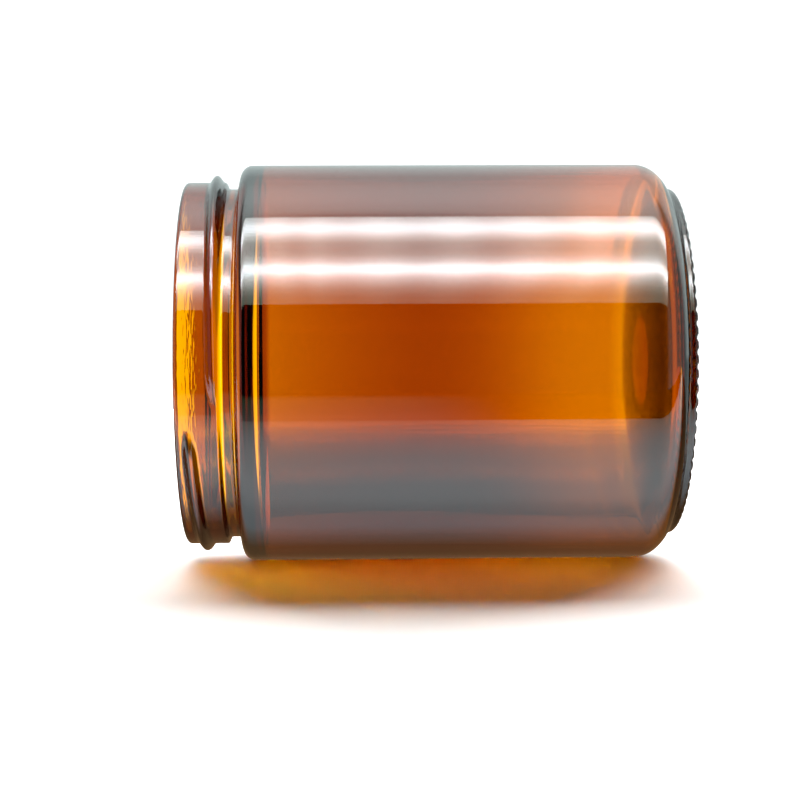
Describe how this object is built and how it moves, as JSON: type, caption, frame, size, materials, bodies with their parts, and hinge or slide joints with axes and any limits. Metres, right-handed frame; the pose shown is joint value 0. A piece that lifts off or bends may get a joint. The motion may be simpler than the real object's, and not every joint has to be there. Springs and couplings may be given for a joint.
{
  "type": "glass candle jar",
  "caption": "Empty straight-sided amber glass candle jar with a rounded heel, a knurled bearing ring and a wide screw-thread mouth, no lid.",
  "frame": {"origin": "on the jar's axis, in the plane of the knurl crests that the jar stands on", "axes": "+Z along the jar's axis, out of its mouth; +X and +Y are square to it, and the closure thread starts near the -Y side"},
  "size_m": [0.073, 0.073, 0.0894],
  "materials": {
    "amber_glass": "smooth moulded amber soda-lime glass, glossy inside and out"
  },
  "bodies": {
    "root": {"sealing_lip": "amber_glass", "threaded_finish": "amber_glass", "closure_thread": "amber_glass", "neck_undercut": "amber_glass", "shoulder": "amber_glass", "side_wall": "amber_glass", "heel": "amber_glass", "pushed_up_floor": "amber_glass", "bearing_ring": "amber_glass", "base_knurls": "amber_glass"}
  },
  "joints": []
}
